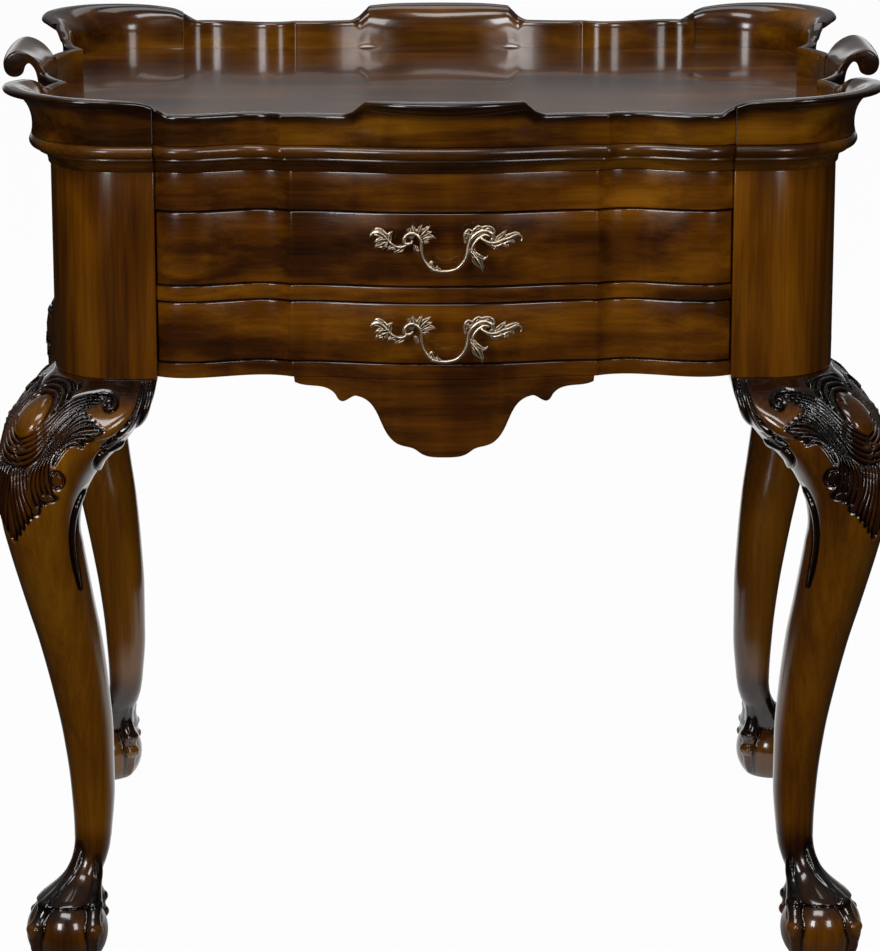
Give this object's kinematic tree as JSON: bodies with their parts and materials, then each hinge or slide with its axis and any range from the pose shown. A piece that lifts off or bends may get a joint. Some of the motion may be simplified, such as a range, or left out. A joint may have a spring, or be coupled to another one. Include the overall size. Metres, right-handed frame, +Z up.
{
  "type": "tray top tea table",
  "caption": "Serpentine tray top tea table with a raised gallery, scroll handles, two drawers, a shaped apron and cabriole legs on ball-and-claw feet.",
  "frame": {"origin": "on the floor under the middle of the table", "axes": "+Z up, -Y towards somebody who stands in front of the drawers, +X to that person's right"},
  "size_m": [0.7836, 0.5932, 0.7758],
  "materials": {
    "case_veneer": "polished walnut veneer, dark amber stain, high gloss",
    "gallery_wood": "polished hardwood, dark amber stain, high gloss",
    "tray_veneer": "polished figured walnut veneer, high gloss",
    "carved_wood": "carved and polished hardwood, dark in the recesses",
    "inner_wood": "plain unpolished secondary wood",
    "pull_metal": "antique silvered, dark in the recesses",
    "nut_steel": "plain zinc-plated"
  },
  "bodies": {
    "case": {"apron": "case_veneer", "back_panel": "case_veneer", "band_moulding": "gallery_wood", "bead_moulding": "gallery_wood", "corner_post_back_left": "case_veneer", "corner_post_back_right": "case_veneer", "corner_post_front_left": "case_veneer", "corner_post_front_right": "case_veneer", "drawer_stops": "inner_wood", "dust_board": "inner_wood", "frieze_rail": "case_veneer", "gallery_back": "gallery_wood", "gallery_corner_back_left": "gallery_wood", "gallery_corner_back_right": "gallery_wood", "gallery_corner_front_left": "gallery_wood", "gallery_corner_front_right": "gallery_wood", "gallery_front": "gallery_wood", "gallery_side_left": "gallery_wood", "gallery_side_right": "gallery_wood", "glue_blocks": "inner_wood", "kicker_left": "inner_wood", "kicker_right": "inner_wood", "leg_back_left": "carved_wood", "leg_back_right": "carved_wood", "leg_front_left": "carved_wood", "leg_front_right": "carved_wood", "lower_rail": "case_veneer", "lower_runner_left": "inner_wood", "lower_runner_right": "inner_wood", "mid_rail": "case_veneer", "side_panel_left": "case_veneer", "side_panel_right": "case_veneer", "tray_board": "tray_veneer", "upper_runner_left": "inner_wood", "upper_runner_right": "inner_wood"},
    "upper_drawer": {"upper_drawer_back": "inner_wood", "upper_drawer_bottom": "inner_wood", "upper_drawer_front": "case_veneer", "upper_drawer_side_left": "inner_wood", "upper_drawer_side_right": "inner_wood", "upper_pull": "pull_metal", "upper_pull_nuts": "nut_steel"},
    "lower_drawer": {"lower_drawer_back": "inner_wood", "lower_drawer_bottom": "inner_wood", "lower_drawer_front": "case_veneer", "lower_drawer_side_left": "inner_wood", "lower_drawer_side_right": "inner_wood", "lower_pull": "pull_metal", "lower_pull_nuts": "nut_steel"}
  },
  "joints": [
    {"name": "upper_drawer_slide", "type": "slide", "parent": "case", "child": "upper_drawer", "axis": [0, -1, 0], "range_m": [0, 0.28]},
    {"name": "lower_drawer_slide", "type": "slide", "parent": "case", "child": "lower_drawer", "axis": [0, -1, 0], "range_m": [0, 0.28]}
  ]
}
